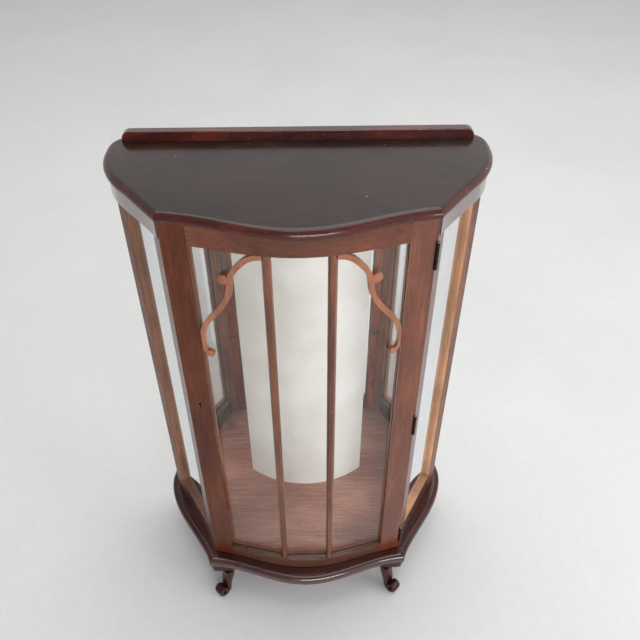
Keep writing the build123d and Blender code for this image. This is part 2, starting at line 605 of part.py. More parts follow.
side_set = [
    fstrip(-REBATE + 0.3, 0.5, GLASS_T + 0.05, 10.5, z1, z2),
    fstrip(_fl - 9.5, _fl - 5.0, GLASS_T + 0.05, 10.5, oz1, oz2),
    fstrip(0.6, _fl - 9.6, GLASS_T + 0.05, 10.5, z1, oz1),
    fstrip(0.6, _fl - 9.6, GLASS_T + 0.05, 10.5, oz2, z2),
]
mid_set = []
for sgn in (1, -1):
    xa, xb = sorted((sgn * (BAR_X - 1.8), sgn * (BAR_X - 7.0)))
    mid_set.append(prism([(xa, P2[1] + 3.05), (xb, P2[1] + 3.05), (xb, P2[1] + 10.5), (xa, P2[1] + 10.5)], oz1, oz2))
mid_set.append(prism([(-BAR_X + 7.1, P2[1] + 3.05), (BAR_X - 7.1, P2[1] + 3.05), (BAR_X - 7.1, P2[1] + 10.5),
                      (-BAR_X + 7.1, P2[1] + 10.5)], z1, oz1))
mid_set.append(prism([(-BAR_X + 7.1, P2[1] + 3.05), (BAR_X - 7.1, P2[1] + 3.05), (BAR_X - 7.1, P2[1] + 10.5),
                      (-BAR_X + 7.1, P2[1] + 10.5)], oz2, z2))
bd = side_set + [mirrored(s) for s in side_set] + mid_set
emit("door_beads", Compound(children=[solid_of(s) for s in bd]))

# fretted scroll brackets in the outer panes (s from the stile, z up)
SCROLL = [(121.5, 992.0), (110, 990.8), (98, 985.6), (83.5, 972.5), (72, 957.5), (66.2, 946), (63.4, 932),
          (61.6, 916), (53.6, 895.5), (41.3, 875.5), (27, 858), (14.8, 840.5), (7.2, 822.5), (4.3, 805),
          (4.9, 789.5), (9.6, 778.0), (14.5, 774.2)]
KNOB = (53.5, 940.0, 9.0)
CURL = (16.0, 773.6, 6.9)
BAND = 9.4
SC_T0, SC_T1 = -8.2, -0.25


def dense(points, n=60):
    crv = Spline(*points)
    return [(crv @ (i / (n - 1))) for i in range(n)], [(crv % (i / (n - 1))) for i in range(n)]


pp, tt = dense(SCROLL, 34)
lefts, rights = [], []
for i, (p, t) in enumerate(zip(pp, tt)):
    w = BAND / 2
    f = i / (len(pp) - 1)
    if f > 0.82:
        w = BAND / 2 * (1 - 0.28 * (f - 0.82) / 0.18)
    lefts.append((p.X - t.Y * w, p.Y + t.X * w))
    rights.append((p.X + t.Y * w, p.Y - t.X * w))
band_wire = Wire([Spline(*lefts), Line(lefts[-1], rights[-1]), Spline(*reversed(rights)), Line(rights[0], lefts[0])])
band_face = make_face(band_wire)
flat = extrude(band_face, SC_T1 - SC_T0)
flat = flat + extrude(Pos(KNOB[0], KNOB[1]) * Circle(KNOB[2]), SC_T1 - SC_T0)
flat = flat + extrude(Pos(CURL[0], CURL[1]) * Circle(CURL[2]), SC_T1 - SC_T0)
# small notch between the knob and the stem, above the knob
flat = flat - Pos(KNOB[0] + 5.6, KNOB[1] + 9.2, 4) * Cylinder(1.7, 12)
flat = flat - Pos(-20, 880, 4) * Box(40.0, 300, 30)
flat = flat - Pos(0, DOOR_OPEN_Z2 + 20, 4) * Box(400, 40, 30)
flat = flat - Pos(_fl - BAR_W / 2 / abs(FX) + 20.1, 900, 4) * Box(40, 300, 30)
# drawn in (s, z) with the thickness along local z, then stood up in the pane
facet_plane = Plane(origin=(P1[0] - IX * (-SC_T0), P1[1] - IY * (-SC_T0), 0), x_dir=(FX, FY, 0), z_dir=(FX * 0 + IX, IY, 0))
# local y must point up; flip the drawing when it points down
probe = facet_plane.y_dir
if probe.Z < 0:
    facet_plane = Plane(origin=(P1[0] + IX * SC_T1, P1[1] + IY * SC_T1, 0), x_dir=(FX, FY, 0), z_dir=(-IX, -IY, 0))
scroll = facet_plane * flat
scroll = scroll - prism([(STILE_IN - 0.02, -320), (STILE_IN + 30, -320), (STILE_IN + 30, -200), (STILE_IN - 0.02, -200)],
                        DOOR_OPEN_Z1, DOOR_OPEN_Z2)
scroll = scroll - prism([(BAR_X + BAR_W / 2 + 0.02, -320), (BAR_X - 20, -320), (BAR_X - 20, -200),
                         (BAR_X + BAR_W / 2 + 0.02, -200)], DOOR_OPEN_Z1, DOOR_OPEN_Z2)
scroll = max(scroll.solids(), key=lambda q: q.volume)
emit("scroll_bracket_right", scroll)
emit("scroll_bracket_left", mirrored(scroll))

# ---------------------------------------------------------------- floor
fl_board = prism(floor_poly, BASE_TOP, BASE_TOP + FLOOR_T)
fl_board = fl_board - back_post - mirrored(back_post) - front_post_r - front_post_l - bottom_rail - mirrored(bottom_rail)
fl_sol = max(fl_board.solids(), key=lambda s: s.volume)
# lipping that carries the floor forward to the back of the door, following its facets
LIP_X, LIP_Y = 165.5, P1[1] + (DOOR_BACK_T - DOOR_GLASS_SET) + 2.6
lip_c = P2[1] + (DOOR_BACK_T - DOOR_GLASS_SET) + 2.2
floor_lip = prism([(LIP_X, FLOOR_FRONT), (LIP_X, LIP_Y), (BAR_X, lip_c), (-BAR_X, lip_c), (-LIP_X, LIP_Y),
                   (-LIP_X, FLOOR_FRONT)], BASE_TOP, BASE_TOP + FLOOR_T)
emit("cabinet_floor", Compound(children=[fl_sol, solid_of(floor_lip)]))

# ---------------------------------------------------------------- back
back_board = Pos(0, -BACK_BOARD_T / 2, (BASE_TOP + UNDER_TOP) / 2) * Box(2 * (POST_IN + 14) - 0.4, BACK_BOARD_T, UNDER_TOP - BASE_TOP)
emit("back_board", back_board)
back_top_rail = Pos(0, -BACK_BOARD_T - 5.5, UNDER_TOP - 15) * Box(2 * POST_IN - 0.2, 11, 30)
batten_x = [-296, -150, 0, 150, 296]
battens = []
for x in (-150, 0, 150):
    battens.append(Pos(x, -BACK_BOARD_T - 5.5, (BASE_TOP + FLOOR_T + UNDER_TOP - 30) / 2) * Box(30, 11, UNDER_TOP - 30 - BASE_TOP - FLOOR_T))
for sgn in (1, -1):
    battens.append(Pos(sgn * (POST_IN - 10.2), -BACK_BOARD_T - 5.5, (BASE_TOP + FLOOR_T + UNDER_TOP - 30) / 2) * Box(20, 11, UNDER_TOP - 30 - BASE_TOP - FLOOR_T))
emit("back_top_rail", back_top_rail)
emit("back_battens", Compound(children=[solid_of(b) for b in battens]))
mz1, mz2 = BASE_TOP + FLOOR_T, UNDER_TOP
mir = Pos((POST_IN - 0.4 + PANEL_HALF - 12) / 2, MIRROR_Y + MIRROR_T / 2, (mz1 + mz2) / 2) * Box(
    POST_IN - 0.4 - (PANEL_HALF - 12), MIRROR_T, mz2 - mz1)
emit("back_mirror_right", mir)
emit("back_mirror_left", mirrored(mir))


# convex centre panel: thin bent board with a cream embossed lining
def panel_arc(half, bow, y0):
    return ThreePointArc((half, y0), (0, y0 - bow), (-half, y0))


py0 = MIRROR_Y - 0.2
board_face = make_face(Wire([panel_arc(PANEL_HALF, PANEL_BOW, py0), Line((-PANEL_HALF, py0), (-PANEL_HALF + 8, py0)),
                             ThreePointArc((-PANEL_HALF + 8, py0), (0, py0 - PANEL_BOW + 3.2), (PANEL_HALF - 8, py0)),
                             Line((PANEL_HALF - 8, py0), (PANEL_HALF, py0))]))
panel_board = Pos(0, 0, mz1) * extrude(board_face, mz2 - mz1)
lin_face = make_face(Wire([panel_arc(PANEL_HALF + 2.6, PANEL_BOW + 0.9, py0),
                           Line((-PANEL_HALF - 2.6, py0), (-PANEL_HALF, py0)),
                           ThreePointArc((-PANEL_HALF, py0), (0, py0 - PANEL_BOW), (PANEL_HALF, py0)),
                           Line((PANEL_HALF, py0), (PANEL_HALF + 2.6, py0))]))
panel_lining = Pos(0, 0, mz1) * extrude(lin_face, mz2 - mz1)
emit("centre_panel_board", panel_board)
emit("centre_panel_lining", panel_lining)
form_face = make_face(Wire([ThreePointArc((PANEL_HALF - 9, py0), (0, py0 - PANEL_BOW + 3.6), (-PANEL_HALF + 9, py0)),
                            Line((-PANEL_HALF + 9, py0), (PANEL_HALF - 9, py0))]))
formers = []
for zc in (mz1 + 2, (mz1 * 2 + mz2) / 3, (mz1 + 2 * mz2) / 3, mz2 - 14):
    formers.append(Pos(0, 0, zc) * extrude(form_face, 12))
emit("centre_panel_formers", Compound(children=[solid_of(f) for f in formers]))

# ---------------------------------------------------------------- shelf pegs
pegs = []
# the front pegs stand on the inner edges of the door stops
for z in PEG_Z:
    for sgn in (1, -1):
        pegs.append(Plane(origin=(sgn * POST_IN, -38, z), z_dir=(-sgn, 0, 0)) * (Pos(0, 0, 9) * Cylinder(PEG_R, 18)))
        pegs.append(Plane(origin=(sgn * STOP_X, -221.2, z), z_dir=(-sgn, 0, 0)) * (Pos(0, 0, 9) * Cylinder(PEG_R, 18)))
stop_solids = list(stops_right.solids()) + list(stops_left.solids())
emit("shelf_pegs", Compound(children=[solid_of(p) for p in pegs]))

# ---------------------------------------------------------------- feet
# shaped block under each front corner
BLOCK_H = 22.0
block_pts = [(168, -241), (168, -272), (186, -277.5), (222, -276), (231, -262), (228, -240)]
block = prism(block_pts, FOOT_H - BLOCK_H, FOOT_H)
block = safe_fillet(block, lambda s: s.edges().filter_by(Axis.Z), (6, 4, 2))
block = safe_fillet(block, lambda s: [e for e in s.edges() if abs(e.center().Z - (FOOT_H - BLOCK_H)) < 0.01], (5, 3, 2))
emit("foot_block_right", block)
emit("foot_block_left", mirrored(block))

# scroll foot: profile in the diagonal plane (p towards the toe, z up)
R0 = 14.4
HW0 = 5.9
FOOT_T = 27.0                  # thickness of the scroll foot


def spiral(phi):
    # phi from 0 (inner side, level with the eye) round under the toe and back up
    f = phi / (2 * math.pi * 1.18)
    rr = R0 * (1 - f) + 3.3 * f
    hw = HW0 * (1 - f) + 2.7 * f
    return rr, hw


zc = R0 + HW0
pts_c = [(-26.0, 88.0, 12.6), (-24.9, 72.0, 11.6), (-21.0, 55.0, 9.7), (-17.4, 42.0, 8.0), (-15.2, 30.0, 6.5)]
outl, inl = [], []
cl = []
for p, z, hw in pts_c:
    cl.append((p, z, hw))
N = 26
for i in range(N + 1):
    phi = 2 * math.pi * 1.18 * i / N
    rr, hw = spiral(phi)
    ang = math.pi + phi
    cl.append((rr * math.cos(ang), zc + rr * math.sin(ang), hw))
for i, (p, z, hw) in enumerate(cl):
    a = cl[max(i - 1, 0)]
    b = cl[min(i + 1, len(cl) - 1)]
    tx, tz = b[0] - a[0], b[1] - a[1]
    tl = math.hypot(tx, tz)
    tx, tz = tx / tl, tz / tl
    outl.append((p + tz * hw, z - tx * hw))
    inl.append((p - tz * hw, z + tx * hw))
foot_wire = Wire([Spline(*outl), Line(outl[-1], inl[-1]), Spline(*reversed(inl)), Line(inl[0], outl[0])])
foot_flat = extrude(make_face(foot_wire), FOOT_T)
TOE = (1 / math.sqrt(2), -1 / math.sqrt(2))
FOOT_C = (207.0, -285.0)
fplane = Plane(origin=(FOOT_C[0] + FOOT_T / 2 / math.sqrt(2), FOOT_C[1] + FOOT_T / 2 / math.sqrt(2), 0), x_dir=(TOE[0], TOE[1], 0), z_dir=(-TOE[0], TOE[1], 0))
if fplane.y_dir.Z < 0:
    fplane = Plane(origin=(FOOT_C[0] - FOOT_T / 2 / math.sqrt(2), FOOT_C[1] - FOOT_T / 2 / math.sqrt(2), 0), x_dir=(TOE[0], TOE[1], 0), z_dir=(-TOE[1], TOE[0], 0))
foot = fplane * foot_flat
foot = Pos(0, 0, -foot.bounding_box().min.Z - 0.5) * foot
foot = foot - Pos(0, 0, -10) * Box(2000, 2000, 20)
foot = foot - Pos(0, 0, FOOT_H - BLOCK_H + 20) * Box(2000, 2000, 40)
foot_top_gap = (FOOT_H - BLOCK_H) - foot.bounding_box().max.Z
emit("front_foot_right", foot)
emit("front_foot_left", mirrored(foot))
print("foot top gap", round(foot_top_gap, 2), "foot box", foot.bounding_box())

# rear feet: plain tapered feet under the back corners
rear = loft([Pos(303, -24, 0) * Rectangle(27, 27), Pos(303, -24, FOOT_H) * Rectangle(40, 38)])
emit("rear_foot_right", rear)
emit("rear_foot_left", mirrored(rear))

total = Compound(children=list(PARTS.values()))
bb = total.bounding_box()
print("nodes", len(PARTS), "box", bb)
print("hinge axis", round(HX, 3), round(HY + Y_SHIFT, 3), "bolt tip", round(bolt_tip_rest, 3))
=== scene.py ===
import math

import bmesh
import bpy
from mathutils import Matrix, Vector


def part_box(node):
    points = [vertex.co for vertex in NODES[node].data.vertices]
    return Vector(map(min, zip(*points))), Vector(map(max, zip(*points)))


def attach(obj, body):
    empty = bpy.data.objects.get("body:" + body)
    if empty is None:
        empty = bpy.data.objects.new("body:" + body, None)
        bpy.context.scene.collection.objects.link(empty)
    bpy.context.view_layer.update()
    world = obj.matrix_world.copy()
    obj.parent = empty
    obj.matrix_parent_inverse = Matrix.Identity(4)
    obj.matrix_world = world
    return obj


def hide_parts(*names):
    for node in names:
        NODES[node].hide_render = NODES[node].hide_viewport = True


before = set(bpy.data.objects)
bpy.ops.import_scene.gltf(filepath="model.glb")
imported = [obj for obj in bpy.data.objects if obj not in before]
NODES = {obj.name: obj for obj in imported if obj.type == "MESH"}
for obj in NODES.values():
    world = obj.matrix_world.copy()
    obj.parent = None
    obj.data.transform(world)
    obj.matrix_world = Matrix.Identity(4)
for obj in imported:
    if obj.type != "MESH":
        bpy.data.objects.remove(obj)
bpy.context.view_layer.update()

scene = bpy.context.scene
scene.view_settings.view_transform = "Standard"
Y_SHIFT = 0.165                      # drawn back plane to the row frame, in metres


# ------------------------------------------------------------------ camera
cam_data = bpy.data.cameras.new("view_camera")
cam = bpy.data.objects.new("view_camera", cam_data)
scene.collection.objects.link(cam)
cam_data.sensor_width = 36.0
cam_data.lens = 38.226
PITCH, YAW, ROLL = 0.70157, 0.02226, -0.00158
fwd = Vector((math.sin(YAW) * math.cos(PITCH), math.cos(YAW) * math.cos(PITCH), -math.sin(PITCH)))
right0 = Vector((math.cos(YAW), -math.sin(YAW), 0.0))
up0 = right0.cross(fwd)
right = right0 * math.cos(ROLL) + up0 * math.sin(ROLL)
up = -right0 * math.sin(ROLL) + up0 * math.cos(ROLL)
cam.matrix_world = Matrix((
    (right.x, up.x, -fwd.x, 0.01199),
    (right.y, up.y, -fwd.y, -0.96591),
    (right.z, up.z, -fwd.z, 1.57997),
    (0, 0, 0, 1)))
scene.camera = cam


# ------------------------------------------------------------------ node helpers
class Tree:
    def __init__(self, name):
        self.mat = bpy.data.materials.new(name)
        self.mat.use_nodes = True
        self.nt = self.mat.node_tree
        self.nt.nodes.clear()
        self.out = self.nt.nodes.new("ShaderNodeOutputMaterial")

    def node(self, kind, inputs=None, **props):
        n = self.nt.nodes.new(kind)
        for k, v in props.items():
            setattr(n, k, v)
        for k, v in (inputs or {}).items():
            sock = n.inputs[k]
            if isinstance(v, bpy.types.NodeSocket):
                self.nt.links.new(v, sock)
            else:
                sock.default_value = v
        return n

    def math(self, op, a, b=None, c=None, clamp=False):
        n = self.nt.nodes.new("ShaderNodeMath")
        n.operation = op
        n.use_clamp = clamp
        for i, v in enumerate((a, b, c)):
            if v is None:
                continue
            if isinstance(v, bpy.types.NodeSocket):
                self.nt.links.new(v, n.inputs[i])
            else:
                n.inputs[i].default_value = v
        return n.outputs[0]

    def mix(self, fac, a, b, blend="MIX"):
        n = self.nt.nodes.new("ShaderNodeMix")
        n.data_type = "RGBA"
        n.blend_type = blend
        n.clamp_factor = True
        for sock, v in ((n.inputs[0], fac), (n.inputs[6], a), (n.inputs[7], b)):
            if isinstance(v, bpy.types.NodeSocket):
                self.nt.links.new(v, sock)
            else:
                sock.default_value = v if not isinstance(v, tuple) or len(v) == 4 else (*v, 1.0)
        return n.outputs[2]

    def ramp(self, fac, stops):
        n = self.nt.nodes.new("ShaderNodeValToRGB")
        cr = n.color_ramp
        while len(cr.elements) > 1:
            cr.elements.remove(cr.elements[-1])
        cr.elements[0].position = stops[0][0]
        cr.elements[0].color = (*stops[0][1], 1.0) if len(stops[0][1]) == 3 else stops[0][1]
        for p, col in stops[1:]:
            e = cr.elements.new(p)
            e.color = (*col, 1.0) if len(col) == 3 else col
        self.nt.links.new(fac, n.inputs[0])
        return n.outputs[0]

    def span(self, v, a, b, c, d):
        return self.node("ShaderNodeMapRange", {"Value": v, "From Min": a, "From Max": b, "To Min": c, "To Max": d}).outputs[0]

    def noise(self, vec, scale, detail=4.0, rough=0.55, distortion=0.0):
        return self.node("ShaderNodeTexNoise", {"Vector": vec, "Scale": scale, "Detail": detail,
                                                "Roughness": rough, "Distortion": distortion}).outputs[0]

    def coords(self, angle=0.0, scale=(1, 1, 1), offset=(0, 0, 0)):
        tc = self.node("ShaderNodeTexCoord")
        turn = self.node("ShaderNodeMapping", {"Vector": tc.outputs["Object"], "Rotation": (0, 0, -angle),
                                               "Location": offset})
        return self.node("ShaderNodeMapping", {"Vector": turn.outputs[0], "Scale": scale}).outputs[0]

    def done(self, shader):
        self.nt.links.new(shader, self.out.inputs["Surface"])
        return self.mat


def grain_scale(axis, stretch):
    return (1, 1, stretch) if axis == "z" else ((stretch, 1, 1) if axis == "x" else (1, stretch, 1))


# ------------------------------------------------------------------ woods
def wood(name, dark, mid, light, axis="z", angle=0.0, seed=0.0, rough=0.26, coat=0.0, coat_rough=0.08, spec=0.5,
         bump=0.12, pores=0.55, figure=0.5, wear=0.6, wear_colour=(0.42, 0.24, 0.13), round_mm=1.1, cross=0.0,
         streak=250.0, outer=None, specks=0.5, inside=None, coat_ior=1.5, roll_light_tint=None):
    t = Tree(name)
    off = (seed * 1.37, seed * 0.73, seed * 2.11)
    fine = t.coords(angle, grain_scale(axis, 0.06), off)
    pore_v = t.coords(angle, grain_scale(axis, 0.045), off)
    broad = t.coords(angle, grain_scale(axis, 0.28), off)
    plain = t.coords(0.0, (1, 1, 1), off)
    g1 = t.noise(fine, streak, 5.0, 0.62, 0.35)
    g2 = t.noise(broad, 15.0, 3.0, 0.55, 1.1)
    g3 = t.noise(pore_v, 1250.0, 2.0, 0.6, 0.0)
    g4 = t.noise(plain, 5.0, 2.0, 0.5, 0.0)
    value = t.math("ADD", t.math("MULTIPLY", g1, 1.0 - figure), t.math("MULTIPLY", g2, figure))
    colour = t.ramp(value, [(0.34, dark), (0.50, mid), (0.66, light)])
    # slow patches where the polish has faded or darkened
    patch = t.span(g4, 0.35, 0.66, 0.80, 1.22)
    colour = t.mix(1.0, colour, t.node("ShaderNodeCombineColor", {0: patch, 1: patch, 2: patch}).outputs[0], "MULTIPLY")
    if cross:
        # faint ripple across the grain
        rip = t.noise(t.coords(angle, grain_scale(axis, 3.2), off), 42.0, 3.0, 0.5, 0.6)
        rv = t.span(rip, 0.3, 0.7, 1.0 - cross, 1.0 + cross)
        colour = t.mix(1.0, colour, t.node("ShaderNodeCombineColor", {0: rv, 1: rv, 2: rv}).outputs[0], "MULTIPLY")
    if outer:
        # darker polish on the faces that look outwards
        nx = t.node("ShaderNodeSeparateXYZ", {"Vector": t.node("ShaderNodeNewGeometry").outputs["Normal"]}).outputs["X"]
        px = t.node("ShaderNodeSeparateXYZ", {"Vector": plain}).outputs["X"]
        side = t.math("MULTIPLY", nx, t.math("SIGN", t.math("SUBTRACT", px, off[0])))
        om = t.span(side, 0.15, 0.5, 0.0, 1.0)
        colour = t.mix(om, colour, t.mix(1.0, colour, outer, "MULTIPLY"))
    if roll_light_tint:
        # painted light: the rolled edge is tinted lighter and redder than the flat top, standing in for the difference
        # in the light it reflects
        nz = t.node("ShaderNodeSeparateXYZ", {"Vector": t.node("ShaderNodeTexCoord").outputs["Normal"]}).outputs["Z"]
        roll_light_mask = t.span(nz, 0.72, 0.992, 1.0, 0.0)
        colour = t.mix(roll_light_mask, colour, t.mix(1.0, colour, roll_light_tint, "MULTIPLY"))
    if inside:
        # thinner, brighter polish on the faces towards the display space
        ny = t.node("ShaderNodeSeparateXYZ", {"Vector": t.node("ShaderNodeTexCoord").outputs["Normal"]}).outputs["Y"]
        im = t.span(ny, 0.3, 0.6, 0.0, 1.0)
        colour = t.mix(im, colour, t.mix(1.0, colour, inside, "MULTIPLY"))
    pmask = t.math("MULTIPLY", t.span(g3, 0.56, 0.70, 0.0, 1.0), pores)
    colour = t.mix(pmask, colour, tuple(c * 0.35 for c in dark))
    # rounded edges, and small nicks of bare wood along them
    bev = t.node("ShaderNodeBevel", {"Radius": round_mm / 1000.0}, samples=4).outputs[0]
    geo = t.node("ShaderNodeNewGeometry")
    same = t.node("ShaderNodeVectorMath", {0: bev, 1: geo.outputs["Normal"]}, operation="DOT_PRODUCT").outputs["Value"]
    edge = t.span(same, 0.995, 0.90, 0.0, 1.0)
    chips = t.span(t.noise(plain, 70.0, 4.0, 0.7, 0.0), 0.60, 0.68, 0.0, 1.0)
    dots = t.span(t.noise(t.coords(0.0, (1, 1, 1), (seed + 5.1, 2.2, 0.4)), 115.0, 1.0, 0.4, 0.0), 0.775, 0.80, 0.0, 1.0)
    worn = t.math("MULTIPLY", t.math("MULTIPLY", edge, chips), wear, clamp=True)
    worn = t.math("MAXIMUM", worn, t.math("MULTIPLY", dots, wear * specks))
    colour = t.mix(worn, colour, wear_colour)
    smear = t.noise(plain, 26.0, 4.0, 0.6, 0.8)
    r = t.span(smear, 0.3, 0.72, rough - 0.05, rough + 0.09)
    r = t.math("ADD", r, t.math("MULTIPLY", worn, 0.25))
    height = t.math("SUBTRACT", t.math("MULTIPLY", g1, 0.5), t.math("MULTIPLY", pmask, 0.9))
    height = t.math("ADD", height, t.math("MULTIPLY", smear, 0.35))
    bmp = t.node("ShaderNodeBump", {"Strength": bump, "Distance": 0.0004, "Height": height, "Normal": bev}).outputs[0]
    p = t.node("ShaderNodeBsdfPrincipled", {"Base Color": colour, "Roughness": r, "Normal": bmp})
    p.inputs["Specular IOR Level"].default_value = spec
    p.inputs["Coat Weight"].default_value = coat
    p.inputs["Coat Roughness"].default_value = coat_rough
    p.inputs["Coat IOR"].default_value = coat_ior
    return t.done(p.outputs[0])


RAD60 = math.radians(60)
DOOR = dict(dark=(0.060, 0.0115, 0.0042), mid=(0.108, 0.0245, 0.0085), light=(0.165, 0.046, 0.016))
# painted shade: a darker copy of the door wood, used for the left stile on the side away from the light
DOOR_SHADED_LEFT = dict(dark=(0.046, 0.0088, 0.0032), mid=(0.086, 0.0190, 0.0062), light=(0.140, 0.0390, 0.0120))
RED = dict(dark=(0.016, 0.0030, 0.0022), mid=(0.040, 0.0062, 0.0040), light=(0.085, 0.014, 0.0075))
BODY = dict(dark=(0.042, 0.0090, 0.0045), mid=(0.082, 0.0190, 0.0085), light=(0.130, 0.036, 0.015))
INNER = dict(dark=(0.140, 0.044, 0.022), mid=(0.240, 0.088, 0.046), light=(0.340, 0.145, 0.080))

# left stile takes the darker painted-shade copy of the door wood
m_door_left_shaded = wood("mahogany_door_upright", **DOOR_SHADED_LEFT, axis="z", seed=1, rough=0.30, spec=0.22, coat=0.04, coat_rough=0.16, specks=0.12,
                inside=(3.4, 3.6, 3.4))
m_door_v2 = wood("mahogany_door_upright_b", **DOOR, axis="z", seed=4, rough=0.30, spec=0.44, coat=0.36, coat_rough=0.16, specks=0.12,
                 inside=(3.4, 3.6, 3.4))
m_door_h = wood("mahogany_door_rail", **DOOR, axis="x", seed=2, rough=0.28, spec=0.38, coat=0.24, coat_rough=0.14, specks=0.12,
                inside=(3.4, 3.6, 3.4))
m_door_hb = wood("mahogany_door_rail_low", dark=(0.040, 0.0100, 0.0050), mid=(0.096, 0.0340, 0.0190), light=(0.150, 0.0600, 0.0340),
                 axis="x", seed=31, rough=0.30, spec=0.5, coat=0.8, coat_ior=1.7, coat_rough=0.14, specks=0.12, inside=(3.4, 3.6, 3.4))
m_bar = wood("mahogany_bar", dark=(0.075, 0.020, 0.009), mid=(0.130, 0.040, 0.018), light=(0.190, 0.068, 0.030),
             axis="z", seed=7, rough=0.34, spec=0.4, coat=0.15, wear=0.8)
m_scroll = wood("mahogany_fretwork", dark=(0.180, 0.058, 0.024), mid=(0.300, 0.110, 0.050), light=(0.400, 0.175, 0.090),
                axis="z", seed=9, rough=0.36, spec=0.4, coat=0.1, wear=0.9, round_mm=1.6)
# the roll tint on the top board is painted light: its rolled edge is coloured lighter and redder than the flat surface
m_top = wood("mahogany_top", dark=(0.010, 0.0034, 0.0020), mid=(0.017, 0.0060, 0.0034), light=(0.029, 0.0110, 0.0062),
             axis="x", seed=3, rough=0.24, coat=0.24, coat_rough=0.07, spec=0.30, roll_light_tint=(3.6, 1.5, 1.6), bump=0.06, wear=0.9, figure=0.4, pores=0.4)
m_gallery = wood("mahogany_gallery", dark=(0.020, 0.0036, 0.0028), mid=(0.058, 0.0085, 0.0055), light=(0.120, 0.020, 0.0105),
                 axis="x", seed=5, rough=0.22, coat=0.45, coat_rough=0.08, spec=0.42, figure=0.75)
m_base_f = wood("mahogany_base_front", **RED, axis="x", seed=6, rough=0.20, coat=0.65, coat_rough=0.05, spec=0.5)
m_base_r = wood("mahogany_base_side_right", **RED, axis="x", angle=RAD60, seed=8, rough=0.22, coat=0.12, coat_rough=0.07, spec=0.3)
m_base_l = wood("mahogany_base_side_left", **RED, axis="x", angle=-RAD60, seed=11, rough=0.22, coat=0.12, coat_rough=0.07, spec=0.3)
m_foot = wood("mahogany_carved", dark=(0.016, 0.0036, 0.0034), mid=(0.032, 0.0072, 0.0062), light=(0.058, 0.015, 0.011),
              axis="z", seed=12, rough=0.26, coat=0.04, coat_rough=0.08, spec=0.24, wear=0.8, round_mm=1.8)
m_post = wood("mahogany_post", **BODY, axis="z", seed=13, rough=0.26, coat=0.28, coat_rough=0.10, spec=0.40, bump=0.05, pores=0.3)
m_back_post = wood("mahogany_back_post", dark=(0.165, 0.056, 0.028), mid=(0.290, 0.110, 0.058), light=(0.400, 0.175, 0.100),
                   axis="z", seed=14, rough=0.34, spec=0.12, outer=(0.40, 0.26, 0.17))
FRIEZE = dict(dark=(0.034, 0.0120, 0.0070), mid=(0.064, 0.0240, 0.0140), light=(0.100, 0.0420, 0.0250))
m_side_r = wood("mahogany_side_rail_right", **FRIEZE, axis="x", angle=RAD60, seed=15, rough=0.22, coat=0.9, coat_rough=0.09,
                bump=0.05, coat_ior=2.1)
m_side_l = wood("mahogany_side_rail_left", **FRIEZE, axis="x", angle=-RAD60, seed=16, rough=0.22, coat=0.9, coat_rough=0.09,
                bump=0.05, coat_ior=2.4)
m_rail_r = wood("mahogany_bottom_rail_right", **RED, axis="x", angle=RAD60, seed=25, rough=0.26, coat=0.1, spec=0.35)
m_rail_l = wood("mahogany_bottom_rail_left", **RED, axis="x", angle=-RAD60, seed=26, rough=0.26, coat=0.1, spec=0.35)
m_inner_v = wood("mahogany_inner", **INNER, axis="z", seed=17, rough=0.34, coat=0.1, coat_rough=0.15, spec=0.35)
m_inner_h = wood("mahogany_inner_rail", **INNER, axis="x", seed=18, rough=0.34, coat=0.1, coat_rough=0.15, spec=0.35)
m_slip = wood("slip_timber", dark=(0.23, 0.098, 0.042), mid=(0.35, 0.165, 0.078), light=(0.46, 0.240, 0.125),
              axis="z", seed=19, rough=0.42, coat=0.10, wear=0.15, pores=0.25, streak=420.0)
# painted shade: a darker copy of the slip timber for the left side slips, the side away from the light
m_slip_left_shaded = wood("slip_timber_left_shaded", dark=(0.110, 0.040, 0.018), mid=(0.180, 0.075, 0.036), light=(0.270, 0.125, 0.066),
                axis="z", seed=20, rough=0.42, coat=0.10, wear=0.15, pores=0.25, streak=420.0)
m_floor = wood("veneer_floor", dark=(0.300, 0.102, 0.064), mid=(0.460, 0.185, 0.120), light=(0.600, 0.285, 0.195),
               axis="x", seed=21, rough=0.20, coat=0.45, coat_rough=0.10, wear=0.10, cross=0.07, figure=0.45, pores=0.5)
m_ply = wood("plywood_board", dark=(0.25, 0.155, 0.080), mid=(0.36, 0.235, 0.130), light=(0.46, 0.32, 0.19),
             axis="z", seed=22, rough=0.62, wear=0.3, wear_colour=(0.55, 0.42, 0.27), pores=0.35, bump=0.3, spec=0.3)
m_soft = wood("sawn_softwood", dark=(0.33, 0.205, 0.100), mid=(0.47, 0.320, 0.175), light=(0.60, 0.44, 0.27),
              axis="z", seed=23, rough=0.66, wear=0.3, wear_colour=(0.66, 0.52, 0.36), pores=0.25, bump=0.35, spec=0.3)


